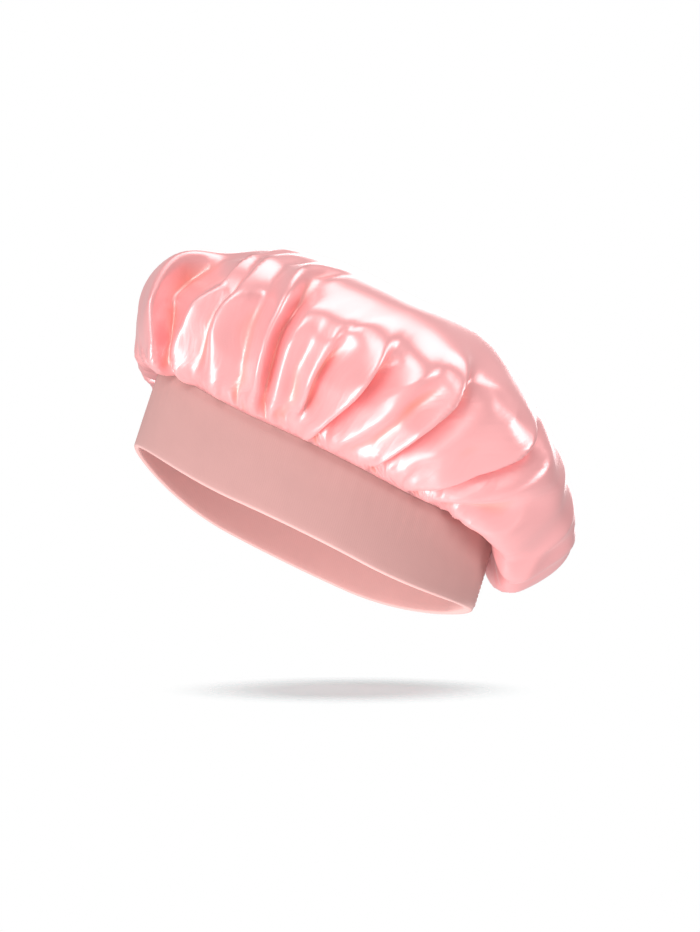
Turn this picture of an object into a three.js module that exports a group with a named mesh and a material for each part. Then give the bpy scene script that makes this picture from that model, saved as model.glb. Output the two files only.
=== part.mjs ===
// Satin hair bonnet: a round cut of satin gathered on to a wide band of folded jersey with an elastic in it.
// Millimetres, +Z up, forehead at -X, nape at +X. The origin is the middle of the rim, at the level of the
// two straight stretches on which the band stands.
import * as THREE from 'three';

// Band: one strip of jersey, folded along the rim, with both raw edges in the seam
const BAND_LENGTH = 205; // outside, forehead to nape
const BAND_WIDTH = 152; // outside, temple to temple
const BAND_LEAN = 6.5; // the seam line lies this far ahead of the rim
const RIM_REST = 72; // straight stretch of the rim at each temple
const RIM_LIFT = 11; // rise of the rim at the forehead and at the nape
const RIM_ROUNDING = 0.8; // corner of the fold
const JERSEY = 0.8; // one ply
const PLY_TAPER = 4; // height below the seam line in which the two plies come together
const JOIN_GROOVE = 0.35; // depth of the line where the ends of the strip are joined at the nape
const JOIN_WIDTH = 3;

// Elastic: a flat ring inside the fold, its ends overlapped at the nape
const ELASTIC_HEIGHT = 38;
const ELASTIC = 1; // thickness
const ELASTIC_OVERLAP = 24;
const OVERLAP_RAMP = 20; // length in which an end steps aside for the other

// Seam between the band and the crown, with its raw edges turned up inside
const SEAM_ALLOWANCE = 7;
const GATHERED_EDGE = 1.4; // satin bunched between the stitches
const SEAM_TURN = 0.9; // height above the seam line at which the satin turns outward
const OVERLOCK = 0.6; // thread wrapped over the raw edges
const OVERLOCK_REACH = 2.7; // how far it reaches down from the raw edges
const SEAM_THREAD = 0.5; // diameter, as for the two threads below
const BAND_JOIN_THREAD = 0.5;
const ELASTIC_JOIN_THREAD = 0.4;
const ZIGZAG_WIDTH = 9;
const ZIGZAG_PITCH = 3;

// Crown: how far it reaches out past the seam line, and its heights above that line at the temples
const SATIN = 0.8;
const FRONT_START = 13.7; // the underside climbs at the forehead and hangs below the seam at the nape
const FRONT_RISE = 14.6;
const FRONT_REACH = 27;
const FRONT_BULGE = 54.6;
const FRONT_SHOULDER = 81.6;
const FRONT_CREST = 110.4;
const SIDE_START = 15.7;
const SIDE_RISE = 13;
const SIDE_REACH = 44.7;
const SIDE_BULGE = 57;
const SIDE_SHOULDER = 87.6;
const SIDE_CREST = 101.2;
const BACK_START = 19.5;
const BACK_RISE = -11.9;
const BACK_REACH = 41.2;
const BACK_BULGE = 22.6;
const BACK_SHOULDER = 60.6;
const BACK_CREST = 99.2;
const SHOULDER_INSET = 24; // the crown draws in from its bulge to its shoulder
const CREST_RADIUS = 55;
const CROWN_TOP = 103.6;
const CROWN_CENTRE = 18; // the middle of the round cut lies this far behind the middle of the rim
const END_BLEND = 0.4; // cosine of the angle past which the crown is all front or all back
const END_POWER = 3; // how closely the heights of the front and the back keep to the ends
const LIFT_POWER = 6; // how soon the crown loses the wave of the seam line

// Gathers on the wearer's left, from the forehead to the nape: the ridges stand out and the valleys lie in,
// some lean over towards the nape by a share of that, and each wanders by degrees of the oval on its way up
const GATHER_SHARES = [0, 0.1, 0.2, 0.3, 0.45];
const GATHERS = [
  { out: 1.5, lean: 0, angles: [187, 187, 187, 184, 184], end: 0.5 },
  { out: 2, lean: 0, angles: [194, 194, 192, 188.5, 188], end: 0.5 },
  { out: 3.5, lean: 0, angles: [201, 201, 198, 193, 191.5], end: 0.5 },
  { out: 4.5, lean: 0.3, angles: [207.5, 207.3, 203.9, 197.5, 195], end: 0.48 },
  { out: -5, lean: 0.3, angles: [211.3, 211, 208.5, 203, 201], end: 0.55 },
  { out: -5, lean: -0.3, angles: [215.5, 215.5, 219, 221.3, 213], begin: 0.1, end: 0.7 },
  { out: 4, lean: -0.3, angles: [219.8, 219.8, 222.5, 224.4, 216.5], end: 0.7 },
  { out: -3.5, lean: 0, angles: [225.5, 226, 227, 227.2, 218.8], end: 0.4 },
  { out: 5, lean: 0, angles: [233.2, 232.8, 230.8, 229.9, 221.5], end: 0.55 },
  { out: -3.5, lean: 0, angles: [241, 240.3, 238.7, 235.3, 228], end: 0.5 },
  { out: 5.5, lean: 0.4, angles: [246.8, 245.9, 244.2, 241.5, 234.5], end: 0.65 },
  { out: -7.5, lean: 0.4, angles: [249.2, 248.4, 247, 244.4, 238], end: 0.65 },
  { out: 3.5, lean: 0, angles: [252.8, 252, 250.4, 248.6, 243], end: 0.45 },
  { out: -1.5, lean: 0, angles: [256.2, 255, 253.8, 253.2, 249], end: 0.4 },
  { out: 3.5, lean: 0.3, angles: [259.5, 258.1, 257, 257, 253.5], end: 0.4 },
  { out: -4, lean: 0.3, angles: [261, 260.2, 259.6, 260, 257], end: 0.4 },
  { out: 6, lean: 0.4, angles: [262.8, 264.2, 266.8, 268, 265.5], end: 0.48 },
  { out: -6, lean: 0.4, angles: [265, 267, 269.6, 271, 269], end: 0.48 },
  { out: 5, lean: 0, angles: [270, 274.3, 277.5, 279, 277], end: 0.42 },
  { out: -1.5, lean: 0, angles: [275, 278.8, 280.8, 282.5, 281], end: 0.4 },
  { out: 5.5, lean: 0.4, angles: [280.8, 282.4, 283.6, 286.2, 286], end: 0.5 },
  { out: -7.5, lean: 0.4, angles: [283.2, 285.3, 286.8, 289, 290], end: 0.5 },
  { out: 3, lean: 0, angles: [286.5, 290.5, 294, 295.5, 296], end: 0.45 },
  { out: 4, lean: 0.4, angles: [295, 298.9, 301.8, 306.5, 311], end: 0.5 },
  { out: -7, lean: 0.4, angles: [297.4, 302, 304.8, 309.5, 315], end: 0.5 },
  { out: 4, lean: 0, angles: [300.2, 306.5, 311.5, 314.5, 320], end: 0.45 },
  { out: 0, lean: 0, angles: [307, 313, 317, 320, 326], end: 0.4 },
  { out: 1, lean: 0, angles: [314, 319, 322.5, 326, 332], end: 0.4 },
  { out: 0, lean: 0, angles: [321, 326, 329, 332, 338], end: 0.4 },
  { out: 1, lean: 0, angles: [328.5, 332.5, 335, 338, 343], end: 0.4 },
  { out: 0, lean: 0, angles: [336, 339, 341, 344, 348], end: 0.4 },
  { out: 1, lean: 0, angles: [344, 346, 347, 349, 352], end: 0.4 },
  { out: 0, lean: 0, angles: [352, 353, 353.5, 354.5, 356], end: 0.4 },
];
const MIDDLE_GATHERS = [
  { out: 1, lean: 0, angles: [0, 0, 0, 0, 0], end: 0.3 },
  { out: 1, lean: 0, angles: [180, 180, 180, 180, 180], end: 0.5 },
];
const GROWTH_SHARES = [0, 0.03, 0.06, 0.1, 0.15, 0.25, 0.35, 0.45, 0.6, 0.75];
const GROWTH = [0, 0.15, 0.45, 0.8, 1, 1, 0.8, 0.5, 0.2, 0];
const GATHER_FADE = 0.2; // share of the way up in which a gather dies out
const GATHER_ONSET = 0.1; // and in which a late one comes up
const MIRROR_SHIFT = 2.5; // degrees by which a gather on the wearer's right may lie off the mirrored place
const MIRROR_FULLNESS = 0.85; // and its mean height, as a share of the other's

const CLEARANCE = 0.3;
const BAND_STATIONS = 80;
const THREAD_SIDES = 6;

const TURN = 2 * Math.PI;
const pocket = ELASTIC / 2 + CLEARANCE; // half of the space between the plies
const wall = pocket + JERSEY; // half of the band's thickness
const roundIn = RIM_ROUNDING * (1 - Math.SQRT1_2); // inset of the middle of a rounded corner
const joined = CLEARANCE / 2 + JERSEY; // half thickness of the two plies in the seam
const bandHeight = JERSEY + CLEARANCE + ELASTIC_HEIGHT + CLEARANCE + PLY_TAPER;
const seamTop = bandHeight + SEAM_ALLOWANCE;
const flange = joined + CLEARANCE + GATHERED_EDGE / 2; // middle of the satin in the seam
const halfLength = BAND_LENGTH / 2 - wall;
const halfWidth = BAND_WIDTH / 2 - wall;

// Rise of the rim: none along the temples, all of it at the forehead and the nape
function lift(angle) {
  const past = Math.abs(halfLength * Math.cos(angle)) - RIM_REST / 2;
  return RIM_LIFT * (Math.max(0, past) / (halfLength - RIM_REST / 2)) ** 2;
}

// A point of the band's section at an angle of the oval: out from the middle of the wall, up from the rim
function bandPoint(angle, out, up) {
  const normal = new THREE.Vector2(halfWidth * Math.cos(angle), halfLength * Math.sin(angle)).normalize();
  return new THREE.Vector3(
    halfLength * Math.cos(angle) + out * normal.x - (BAND_LEAN * up) / bandHeight,
    halfWidth * Math.sin(angle) + out * normal.y,
    lift(angle) + up,
  );
}

function geometryOf(points, triangles) {
  const geometry = new THREE.BufferGeometry().setFromPoints(points);
  geometry.setIndex(triangles.flat());
  geometry.computeVertexNormals();
  return geometry;
}

// A skin over a row of loops of equally many points, closed into a ring or capped at its ends
function loft(loops, ring) {
  const size = loops[0].length;
  const triangles = [];
  const spans = ring ? loops.length : loops.length - 1;
  for (let i = 0; i < spans; i++) {
    const here = i * size;
    const next = ((i + 1) % loops.length) * size;
    for (let j = 0; j < size; j++) {
      const k = (j + 1) % size;
      triangles.push([here + j, next + j, next + k], [here + j, next + k, here + k]);
    }
  }
  const end = (loops.length - 1) * size;
  for (let j = 1; j < size - 1 && !ring; j++) {
    triangles.push([0, j, j + 1], [end, end + j + 1, end + j]);
  }
  return geometryOf(loops.flat(), triangles);
}

const bandAngles = Array.from({ length: BAND_STATIONS }, (_, i) => (TURN * i) / BAND_STATIONS);

// A ring that follows the band, with the section that is given at each angle
function bandRing(section, angles = bandAngles) {
  return loft(angles.map((angle) => section(angle).map(([out, up]) => bandPoint(angle, out, up))), true);
}

function piece(name, geometry, color, roughness) {
  const mesh = new THREE.Mesh(geometry, new THREE.MeshStandardMaterial({ color, roughness, metalness: 0 }));
  mesh.name = name;
  return mesh;
}

// Share of the elastic's overlap at an angle: 1 where its ends lie on each other, 0 away from the nape
const overlapAngle = ELASTIC_OVERLAP / 2 / halfWidth;
const rampAngle = OVERLAP_RAMP / halfWidth;
function overlapAt(angle) {
  const away = Math.abs(Math.atan2(Math.sin(angle), Math.cos(angle)));
  return 1 - THREE.MathUtils.smoothstep(away, overlapAngle, overlapAngle + rampAngle);
}

const endStep = (ELASTIC + CLEARANCE) / 2; // each end of the elastic steps aside by this much
const nape = endStep + ELASTIC_JOIN_THREAD + CLEARANCE; // what the nape adds to half of the pocket

// Folded strip: up the outer ply, down into the pocket, up and over the inner ply, and round the rim
const joinAngle = JOIN_WIDTH / 2 / halfWidth;
function bandSection(angle) {
  const more = nape * overlapAt(angle);
  const groove = angle === 0 ? JOIN_GROOVE : 0;
  const inside = pocket + more;
  const outside = inside + JERSEY - groove;
  const low = bandHeight - PLY_TAPER;
  return [
    [outside, RIM_ROUNDING + groove],
    [outside, low],
    [joined, bandHeight],
    [joined, seamTop],
    [CLEARANCE / 2, seamTop],
    [CLEARANCE / 2, bandHeight],
    [inside, low],
    [inside, JERSEY],
    [-inside, JERSEY],
    [-inside, low],
    [-CLEARANCE / 2, bandHeight],
    [-CLEARANCE / 2, seamTop],
    [-joined, seamTop],
    [-joined, bandHeight],
    [-outside, low],
    [-outside, RIM_ROUNDING + groove],
    [-outside + roundIn, roundIn + groove],
    [-outside + RIM_ROUNDING, groove],
    [outside - RIM_ROUNDING, groove],
    [outside - roundIn, roundIn + groove],
  ];
}

function bandCloth() {
  const angles = [0, joinAngle, ...bandAngles.slice(1), TURN - joinAngle];
  return bandRing(bandSection, angles);
}

const elasticLow = JERSEY + CLEARANCE;
const elasticHigh = elasticLow + ELASTIC_HEIGHT;
function bandElastic() {
  const before = [-overlapAngle, -overlapAngle / 2];
  const after = [TURN, TURN + overlapAngle / 2, TURN + overlapAngle];
  const loops = [...before, ...bandAngles, ...after].map((angle) => {
    const middle = endStep * overlapAt(angle) * Math.sign(angle - TURN / 2);
    return [
      bandPoint(angle, middle + ELASTIC / 2, elasticLow),
      bandPoint(angle, middle + ELASTIC / 2, elasticHigh),
      bandPoint(angle, middle - ELASTIC / 2, elasticHigh),
      bandPoint(angle, middle - ELASTIC / 2, elasticLow),
    ];
  });
  return loft(loops, false);
}

function circleSection(out, up, diameter) {
  return () =>
    Array.from({ length: THREAD_SIDES }, (_, i) => {
      const angle = (TURN * i) / THREAD_SIDES;
      return [out + (diameter / 2) * Math.cos(angle), up + (diameter / 2) * Math.sin(angle)];
    });
}

// Stitches of the seam, along the inside of the band
function seamThread() {
  const out = -joined - CLEARANCE - SEAM_THREAD / 2;
  return bandRing(circleSection(out, bandHeight + SEAM_TURN, SEAM_THREAD));
}

// Thread wrapped over all the raw edges of the seam
function overlockThread() {
  const inner = -joined - CLEARANCE;
  const outer = flange + GATHERED_EDGE / 2 + CLEARANCE;
  const low = seamTop - OVERLOCK_REACH;
  const high = seamTop + CLEARANCE;
  return bandRing(() => [
    [outer + OVERLOCK, low],
    [outer + OVERLOCK, high],
    [outer, high + OVERLOCK],
    [inner, high + OVERLOCK],
    [inner - OVERLOCK, high],
    [inner - OVERLOCK, low],
    [inner, low],
    [inner, high],
    [outer, high],
    [outer, low],
  ]);
}

// A round thread along points of the band's section at the angles given
function threadAlong(places, diameter, steps) {
  const path = new THREE.CatmullRomCurve3(places.map(([angle, out, up]) => bandPoint(angle, out, up)));
  const round = new THREE.Shape().absarc(0, 0, diameter / 2, 0, TURN);
  return new THREE.ExtrudeGeometry(round, { steps, extrudePath: path, curveSegments: THREAD_SIDES });
}

// Stitches of the strip's own join, down the outside at the nape, round the rim and up the inside
function bandJoinThread() {
  const away = CLEARANCE + BAND_JOIN_THREAD / 2;
  const face = pocket + nape + JERSEY - JOIN_GROOVE;
  const high = bandHeight - PLY_TAPER;
  const corner = JOIN_GROOVE + RIM_ROUNDING;
  const outside = [
    [0, face + away, high],
    [0, face + away, high / 2],
    [0, face + away, 2 * corner],
    [0, face + away, corner],
    [0, face - roundIn + away * Math.SQRT1_2, JOIN_GROOVE + roundIn - away * Math.SQRT1_2],
    [0, face - RIM_ROUNDING, JOIN_GROOVE - away],
  ];
  const inside = outside.map(([angle, out, up]) => [angle, -out, up]).reverse();
  return threadAlong([...outside, [0, 0, JOIN_GROOVE - away], ...inside], BAND_JOIN_THREAD, 48);
}

// Zigzag that holds the two ends of the elastic together
function elasticJoinThread() {
  const out = -(endStep + ELASTIC / 2 + CLEARANCE + ELASTIC_JOIN_THREAD / 2);
  const half = ZIGZAG_WIDTH / 2 / halfWidth;
  const count = Math.floor((ELASTIC_HEIGHT - 2 * ZIGZAG_PITCH) / ZIGZAG_PITCH);
  const places = Array.from({ length: count + 1 }, (_, i) => {
    return [i % 2 ? half : -half, out, elasticLow + ZIGZAG_PITCH * (i + 1)];
  });
  return threadAlong(places, ELASTIC_JOIN_THREAD, count * 4);
}

// Profiles of the crown from the seam to its top: distance from the rim's middle, height above the seam line
function profile(seam, lifted, start, rise, reach, bulge, shoulder, crest, centre) {
  return new THREE.SplineCurve([
    new THREE.Vector2(seam, SEAM_TURN + lifted),
    new THREE.Vector2(seam + start, rise),
    new THREE.Vector2(seam + reach, bulge),
    new THREE.Vector2(seam + reach - SHOULDER_INSET, shoulder),
    new THREE.Vector2(CREST_RADIUS, crest),
    new THREE.Vector2(centre, CROWN_TOP),
  ]);
}
const front = profile(
  halfLength + BAND_LEAN + flange, RIM_LIFT, FRONT_START, FRONT_RISE, FRONT_REACH, FRONT_BULGE,
  FRONT_SHOULDER, FRONT_CREST, -CROWN_CENTRE,
);
const side = profile(
  halfWidth + flange, 0, SIDE_START, SIDE_RISE, SIDE_REACH, SIDE_BULGE, SIDE_SHOULDER, SIDE_CREST, 0,
);
const back = profile(
  halfLength - BAND_LEAN + flange, RIM_LIFT, BACK_START, BACK_RISE, BACK_REACH, BACK_BULGE,
  BACK_SHOULDER, BACK_CREST, CROWN_CENTRE,
);

// The smooth crown: the side profile blends into the front and the back ones by the angle
function crownPoint(along, angle) {
  const cosine = Math.cos(angle);
  const toBack = THREE.MathUtils.smoothstep(cosine, -END_BLEND, END_BLEND);
  const end = front.getPointAt(along).lerp(back.getPointAt(along), toBack);
  const flank = side.getPointAt(along);
  const middle = THREE.MathUtils.lerp(-BAND_LEAN, CROWN_CENTRE, along);
  const endReach = end.x + middle * (1 - 2 * toBack);
  const endShare = Math.abs(cosine) ** END_POWER;
  const wave = (lift(angle) - RIM_LIFT * endShare) * (1 - along) ** LIFT_POWER;
  return new THREE.Vector3(
    middle + endReach * cosine,
    flank.x * Math.sin(angle),
    bandHeight + THREE.MathUtils.lerp(flank.y, end.y, endShare) + wave,
  );
}

// The same gather on the wearer's right, a little shifted and of another height
function mirrored(gather) {
  const seamAngle = gather.angles[0];
  const shift = MIRROR_SHIFT * Math.sin(0.11 * seamAngle) * Math.sin(THREE.MathUtils.degToRad(seamAngle));
  const fullness = MIRROR_FULLNESS + 0.25 * Math.sin(0.13 * seamAngle + 1);
  const angles = gather.angles.map((angle) => 360 - angle - shift);
  return { ...gather, out: gather.out * fullness, lean: -gather.lean, angles };
}
const gathers = [...MIDDLE_GATHERS, ...GATHERS, ...GATHERS.map(mirrored)];
gathers.sort((a, b) => a.angles[0] - b.angles[0]);

// Reads a value off a table of places and values
function readOff(places, values, place) {
  const last = places.length - 1;
  if (place >= places[last]) return values[last];
  const i = places.findIndex((value) => value > place);
  return THREE.MathUtils.mapLinear(place, places[i - 1], places[i], values[i - 1], values[i]);
}

// Rows of the crown from the raw edge to its top, each point on a gather.
// The last rows need only every other one.
const crownRows = [
  { edge: true, along: 0, step: 1 },
  { along: 0, step: 1 },
  { along: 0.05, step: 1 },
  { along: 0.1, step: 1 },
  { along: 0.16, step: 1 },
  { along: 0.24, step: 1 },
  { along: 0.33, step: 1 },
  { along: 0.45, step: 1 },
  { along: 0.62, step: 2 },
  { along: 0.8, step: 2 },
];

// The middle of the cloth where a gather crosses a row
function rowPoint(row, gather) {
  const angle = THREE.MathUtils.degToRad(readOff(GATHER_SHARES, gather.angles, row.along));
  if (row.edge) return bandPoint(angle, flange, seamTop);
  const point = crownPoint(row.along, angle);
  const nudge = 0.001;
  const around = crownPoint(row.along, angle + nudge).sub(crownPoint(row.along, angle - nudge)).normalize();
  const upward = crownPoint(row.along + nudge, angle).sub(crownPoint(Math.max(0, row.along - nudge), angle));
  const normal = around.clone().cross(upward).normalize();
  const begin = gather.begin ?? -GATHER_ONSET;
  const risen = THREE.MathUtils.smoothstep(row.along, begin, begin + GATHER_ONSET);
  const left = 1 - THREE.MathUtils.smoothstep(row.along, gather.end - GATHER_FADE, gather.end);
  const out = gather.out * readOff(GROWTH_SHARES, GROWTH, row.along) * risen * left;
  return point.addScaledVector(normal, out).addScaledVector(around, out * gather.lean);
}
const rowPoints = crownRows.map((row) => gathers.map((gather) => rowPoint(row, gather)));

// The point of a row on the face (1) or the back (-1) of the cloth
function clothPoint(index, column, face) {
  const { along, step } = crownRows[index];
  const count = gathers.length;
  const ring = rowPoints[index];
  const above = rowPoints[index + 1] ? rowPoints[index + 1][column] : crownPoint(1, 0);
  const below = rowPoints[Math.max(0, index - 1)][column];
  const around = ring[(column + step) % count].clone().sub(ring[(column - step + count) % count]);
  const normal = around.cross(above.clone().sub(below)).normalize();
  const half = (along > 0 ? SATIN : GATHERED_EDGE) / 2;
  return ring[column].clone().addScaledVector(normal, face * half);
}

// Triangles between a row of the cloth and the next, which has as many points or half as many
function rowTriangles(start, count, next, nextCount) {
  const triangles = [];
  const step = count / nextCount;
  for (let i = 0; i < nextCount; i++) {
    const a = start + i * step;
    const c = start + ((i + 1) * step) % count;
    const d = next + i;
    const e = next + ((i + 1) % nextCount);
    const b = a + 1;
    if (step === 1) triangles.push([a, c, e], [a, e, d]);
    else triangles.push([a, b, d], [b, e, d], [b, c, e]);
  }
  return triangles;
}

// One face of the cloth, whose points start at an index
function clothFace(face, first) {
  const points = [];
  const triangles = [];
  const counts = crownRows.map((row) => gathers.length / row.step);
  crownRows.forEach((row, index) => {
    const start = first + points.length;
    for (let i = 0; i < counts[index]; i++) points.push(clothPoint(index, i * row.step, face));
    const next = counts[index + 1];
    if (next) triangles.push(...rowTriangles(start, counts[index], start + counts[index], next));
  });
  const top = first + points.length;
  const lastCount = counts.at(-1);
  const last = top - lastCount;
  for (let i = 0; i < lastCount; i++) triangles.push([last + i, last + ((i + 1) % lastCount), top]);
  points.push(crownPoint(1, 0).add(new THREE.Vector3(0, 0, (face * SATIN) / 2)));
  return { points, triangles };
}

function satinCrown() {
  const outer = clothFace(1, 0);
  const inner = clothFace(-1, outer.points.length);
  const count = gathers.length;
  const rawEdge = rowTriangles(outer.points.length, count, 0, count);
  const turned = inner.triangles.map(([a, b, c]) => [a, c, b]);
  return geometryOf([...outer.points, ...inner.points], [...outer.triangles, ...turned, ...rawEdge]);
}

const bonnet = new THREE.Group();
bonnet.add(
  piece('satin_crown', satinCrown(), 0xf5aeb0, 0.35),
  piece('band_cloth', bandCloth(), 0xe3a9a4, 0.9),
  piece('band_elastic', bandElastic(), 0xf2efe9, 0.8),
  piece('overlock_thread', overlockThread(), 0xf0b4b2, 0.7),
  piece('seam_thread', seamThread(), 0xf0b4b2, 0.7),
  piece('band_join_thread', bandJoinThread(), 0xe0a39f, 0.7),
  piece('elastic_join_thread', elasticJoinThread(), 0xf2efe9, 0.7),
);

export default bonnet;
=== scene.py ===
"""Satin hair bonnet: a gathered satin crown on a folded jersey band, around its packed solids."""

import math

import bpy
import numpy as np
from bpy.props import FloatProperty, FloatVectorProperty, IntProperty, PointerProperty
from mathutils import Matrix, Vector, noise


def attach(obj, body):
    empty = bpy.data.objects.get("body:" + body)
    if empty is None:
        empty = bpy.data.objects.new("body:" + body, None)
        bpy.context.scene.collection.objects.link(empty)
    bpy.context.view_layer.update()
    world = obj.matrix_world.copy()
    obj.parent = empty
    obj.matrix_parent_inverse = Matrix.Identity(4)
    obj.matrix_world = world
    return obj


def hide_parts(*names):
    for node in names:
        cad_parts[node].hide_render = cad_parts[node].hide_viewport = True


bl_info = {
    "name": "Satin Hair Bonnet",
    "version": (1, 0, 0),
    "blender": (4, 5, 0),
    "location": "3D View > Sidebar > Bonnet",
    "description": "Sews a gathered satin crown on to a folded jersey band",
    "category": "Add Mesh",
}

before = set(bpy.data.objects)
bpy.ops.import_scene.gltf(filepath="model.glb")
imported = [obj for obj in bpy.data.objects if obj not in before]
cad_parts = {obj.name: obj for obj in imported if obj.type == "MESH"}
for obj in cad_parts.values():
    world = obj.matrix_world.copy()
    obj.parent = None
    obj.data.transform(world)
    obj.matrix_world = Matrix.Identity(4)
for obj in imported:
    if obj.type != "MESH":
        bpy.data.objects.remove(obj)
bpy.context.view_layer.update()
TURN = 2 * math.pi
MILLIMETRE = 0.001
# Step of an angle or of a share that shows which way a surface runs
NUDGE = 1e-3

# The band's mesh: points round it, and the girth of the middle of its wall
BAND_COLUMNS = 400
BAND_GIRTH = 0.554
# Its plies: out from the middle of the wall in the seam, and how far below the seam they part
SEAM_PLY = 0.00055
PLIES_PART = 0.004
PLIES_APART = 0.006
# Height of the rounded rim, as a share of the ply's distance out
RIM_ROUND = 1.2
# How far the overlapped ends of the elastic push the plies out, and where along the band it fades
NAPE_SWELL = 0.00135
NAPE_FADE = (0.012, 0.032)
# Puckers under the seam, and the slow wave of the wall, all round and at the band's own join
BAND_PUCKERS = 67
BAND_PUCKER = 0.00008
BAND_WAVE = 0.0001
JOIN_WAVE = 0.00008

# The crown without its gathers, from the seam to the middle of the cut, at the forehead, nape and
# temples: distance out from the middle of the rim, and height
CROWN_FRONT = (
    (0.10935, 0.0553), (0.12305, 0.058), (0.1335, 0.096),
    (0.1095, 0.1235), (0.055, 0.1545), (-0.018, 0.1505),
)
CROWN_BACK = (
    (0.09635, 0.0553), (0.11585, 0.0315), (0.1365, 0.065),
    (0.1100, 0.1022), (0.054, 0.1425), (0.018, 0.1505),
)
CROWN_SIDE = (
    (0.07635, 0.0443), (0.09205, 0.0564), (0.12105, 0.1004),
    (0.09705, 0.131), (0.055, 0.1475), (0.0, 0.1505),
)
# How far behind the middle of the rim the middle of the cut lies
CROWN_CENTRE = 0.018
PROFILE_STEPS = 160

# The crown's turned-up edge: out from the middle of the band's wall, its pleats and their height,
# and its foot above the seam line, where it is sewn
FLANGE_OUT = 0.00195
FLANGE_PLEATS = 96
FLANGE_PLEAT = 0.0004
SEWN_ABOVE = 0.0009

# Rings of the crown: the shares of the way up that they lie between, how many there are, and by
# what the count of points round the seam is divided
CROWN_RINGS = (
    (0.0, 0.36, 30, 1),
    (0.36, 0.60, 17, 2),
    (0.60, 0.80, 11, 4),
    (0.80, 0.92, 5, 8),
    (0.92, 0.98, 3, 16),
)
# Points drawn for each point that is kept, on the rings and on the turned-up edge
RING_FINENESS = 4
FLANGE_FINENESS = 8

# Ridges (plus) and valleys (minus) of the gathers on the wearer's left, from the forehead to the
# nape: height in mm, lean towards the nape as a share of the height, the angle in degrees at
# FOLD_SHARES of the way up, and the shares at which the fold begins and ends
FOLD_SHARES = (0.0, 0.1, 0.2, 0.3, 0.45)
FOLDS = (
    (2.0, 0.0, 188.0, 188.0, 188.0, 187.0, 186.0, 0.0, 0.5),
    (8.0, 0.7, 207.5, 207.3, 203.9, 197.5, 195.0, 0.0, 0.48),
    (-9.0, 0.7, 211.3, 211.0, 208.5, 203.0, 201.0, 0.0, 0.55),
    (-7.0, -0.6, 215.5, 215.5, 219.0, 221.3, 213.0, 0.1, 0.7),
    (6.0, -0.6, 219.8, 219.8, 222.5, 224.4, 216.5, 0.0, 0.7),
    (-5.0, 0.0, 225.5, 226.0, 227.0, 227.2, 218.8, 0.0, 0.4),
    (7.0, 0.0, 233.2, 232.8, 230.8, 229.9, 221.5, 0.0, 0.6),
    (-5.0, 0.0, 241.0, 240.3, 238.7, 235.3, 228.0, 0.0, 0.5),
    (9.0, 0.5, 246.8, 245.9, 244.2, 241.5, 234.5, 0.0, 0.65),
    (-7.0, 0.5, 249.8, 249.0, 247.9, 245.4, 239.0, 0.0, 0.65),
    (5.0, 0.0, 252.8, 252.0, 250.4, 248.6, 243.0, 0.0, 0.45),
    (-2.0, 0.0, 256.2, 255.0, 253.8, 253.2, 249.0, 0.0, 0.4),
    (5.0, 0.7, 259.5, 258.1, 257.0, 257.0, 253.5, 0.02, 0.4),
    (-6.0, 0.7, 261.0, 260.2, 259.6, 260.0, 257.0, 0.02, 0.4),
    (9.0, 0.7, 262.8, 264.2, 266.8, 268.0, 265.5, 0.0, 0.42),
    (-8.0, 0.7, 265.0, 267.0, 269.8, 271.2, 269.2, 0.0, 0.42),
    (7.0, 0.0, 270.0, 274.3, 277.5, 279.0, 277.0, 0.0, 0.42),
    (-2.0, 0.0, 275.0, 278.8, 280.8, 282.5, 281.0, 0.0, 0.4),
    (9.0, 0.7, 280.8, 282.4, 283.6, 286.2, 286.0, 0.0, 0.48),
    (-10.0, 0.7, 283.4, 285.6, 287.2, 289.6, 290.4, 0.0, 0.48),
    (4.0, 0.0, 286.5, 290.5, 294.0, 295.5, 296.0, 0.0, 0.45),
    (3.0, 0.0, 290.0, 294.0, 297.5, 301.0, 303.0, 0.0, 0.55),
    (7.0, 0.7, 295.0, 298.9, 301.8, 306.5, 311.0, 0.0, 0.5),
    (-9.0, 0.7, 297.6, 302.2, 305.2, 310.0, 315.4, 0.0, 0.5),
    (6.0, 0.0, 300.2, 306.5, 311.5, 314.5, 320.0, 0.0, 0.45),
    (-4.5, 0.3, 306.5, 313.0, 318.0, 322.0, 328.0, 0.0, 0.32),
    (4.5, 0.3, 310.5, 319.0, 324.0, 328.0, 334.0, 0.0, 0.3),
    (-4.0, 0.0, 331.0, 337.0, 341.0, 345.0, 350.0, 0.0, 0.4),
    (2.0, 0.0, 338.0, 344.0, 348.0, 351.0, 354.0, 0.0, 0.4),
)
# Folds near the nape and forehead, which aren't mirrored
MIDDLE_FOLDS = (
    (-2.0, 0.0, 347.0, 351.0, 353.5, 355.5, 357.5, 0.0, 0.3),
    (1.5, 0.0, 357.0, 357.5, 358.0, 358.5, 359.5, 0.0, 0.3),
    (-2.0, 0.0, 8.0, 6.0, 4.5, 3.0, 1.5, 0.0, 0.3),
    (1.0, 0.0, 180.0, 180.0, 180.0, 180.0, 180.0, 0.0, 0.5),
)
# The mirrored folds: how many degrees they are shifted at most, their mean height, and its swing
MIRROR_SHIFT = 2.5
MIRROR_HEIGHT = 0.85
MIRROR_SWING = 0.25
# Shares of the way up, and how much of its height a fold has there
FOLD_GROWTH = (
    (0.0, 0.012, 0.03, 0.06, 0.1, 0.15, 0.25, 0.35, 0.45, 0.6, 0.75),
    (0.0, 0.18, 0.40, 0.68, 0.90, 1.0, 1.0, 0.8, 0.5, 0.2, 0.0),
)
# Shares of the way up that a late fold takes to begin, and that each fold takes to die out
FOLD_BEGINS = 0.1
FOLD_DIES = 0.2
# How straight the cloth runs from ridge to valley, and into how many parts a ring is divided for
# the one that rounds them on each side
FOLD_STRAIGHT = 0.75
FOLD_ROUNDING = 400
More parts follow.
